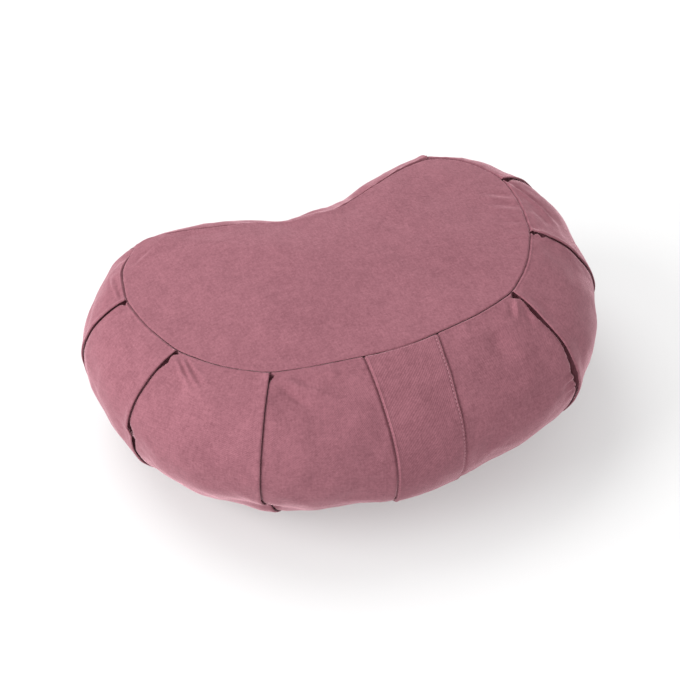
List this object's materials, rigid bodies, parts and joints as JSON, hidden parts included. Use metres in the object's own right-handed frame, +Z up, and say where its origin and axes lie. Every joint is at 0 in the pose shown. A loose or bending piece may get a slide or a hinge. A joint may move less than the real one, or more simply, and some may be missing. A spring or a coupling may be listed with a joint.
{
  "type": "crescent meditation cushion",
  "caption": "Crescent-shaped filled meditation cushion in rose cotton twill, with a pleated side wall, flat crescent panels and a plain front band.",
  "frame": {"origin": "middle of the footprint, on the surface that the cushion rests on", "axes": "+X along the crescent's length, full front with the band towards -Y, hollow back towards +Y, +Z up"},
  "size_m": [0.4584, 0.3352, 0.1571],
  "materials": {
    "cover_cloth": "matt rose cotton twill",
    "band_cloth": "matt rose cotton twill, doubled and topstitched"
  },
  "bodies": {
    "root": {"cushion_body": "cover_cloth", "top_panel": "cover_cloth", "bottom_panel": "cover_cloth", "front_band": "band_cloth"}
  },
  "joints": []
}
